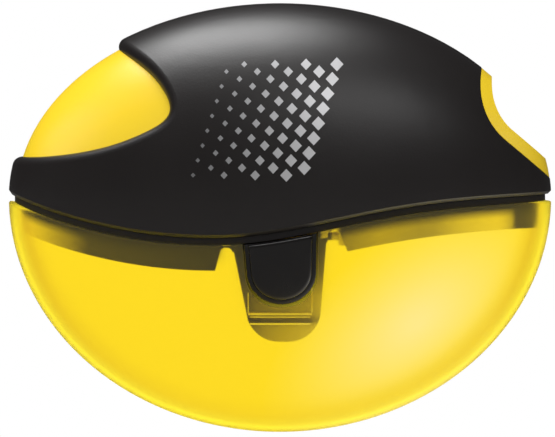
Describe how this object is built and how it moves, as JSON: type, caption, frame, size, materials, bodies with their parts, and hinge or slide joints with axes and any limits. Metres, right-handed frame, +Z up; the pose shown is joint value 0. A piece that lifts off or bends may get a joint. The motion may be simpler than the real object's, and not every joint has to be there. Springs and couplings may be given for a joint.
{
  "type": "pencil sharpener",
  "caption": "Hand-held pencil sharpener with a lens-shaped translucent shavings container, a two-colour head with a scooped pencil port, and squeeze latches that free the head.",
  "frame": {"origin": "under the middle of the container, level with the lowest point of its round bottom", "axes": "+X along the body towards the pencil port, +Y through the thickness towards the back, +Z up, the way the head lifts off"},
  "size_m": [0.072, 0.033, 0.0569],
  "materials": {
    "container": "translucent amber-yellow, glossy",
    "core": "satin yellow",
    "cover": "satin black, fine grain",
    "frame": "satin black",
    "button": "glossy black",
    "block": "milled, satin",
    "blade": "ground steel",
    "screw": "plated steel"
  },
  "bodies": {
    "container": {"container": "container"},
    "head": {"core_housing": "core", "front_cover": "cover", "rear_cover": "cover", "skirt_frame": "frame", "sharpener_block": "block", "blade": "blade", "blade_screw": "screw"},
    "front_latch": {"front_tongue": "frame", "front_button": "button"},
    "rear_latch": {"rear_tongue": "frame", "rear_button": "button"}
  },
  "joints": [
    {"name": "head_lift", "type": "slide", "parent": "container", "child": "head", "axis": [0, 0, 1], "range_m": [0, 0.045]},
    {"name": "front_latch_press", "type": "hinge", "parent": "head", "child": "front_latch", "pos_m": [0, -0.01192, 0.02662], "axis": [1, 0, 0], "range_deg": [0, 6], "stiffness_Nm_per_rad": 0.3, "deforming": ["front_tongue"]},
    {"name": "rear_latch_press", "type": "hinge", "parent": "head", "child": "rear_latch", "pos_m": [0, 0.01192, 0.02662], "axis": [-1, 0, 0], "range_deg": [0, 6], "stiffness_Nm_per_rad": 0.3, "deforming": ["rear_tongue"]}
  ]
}
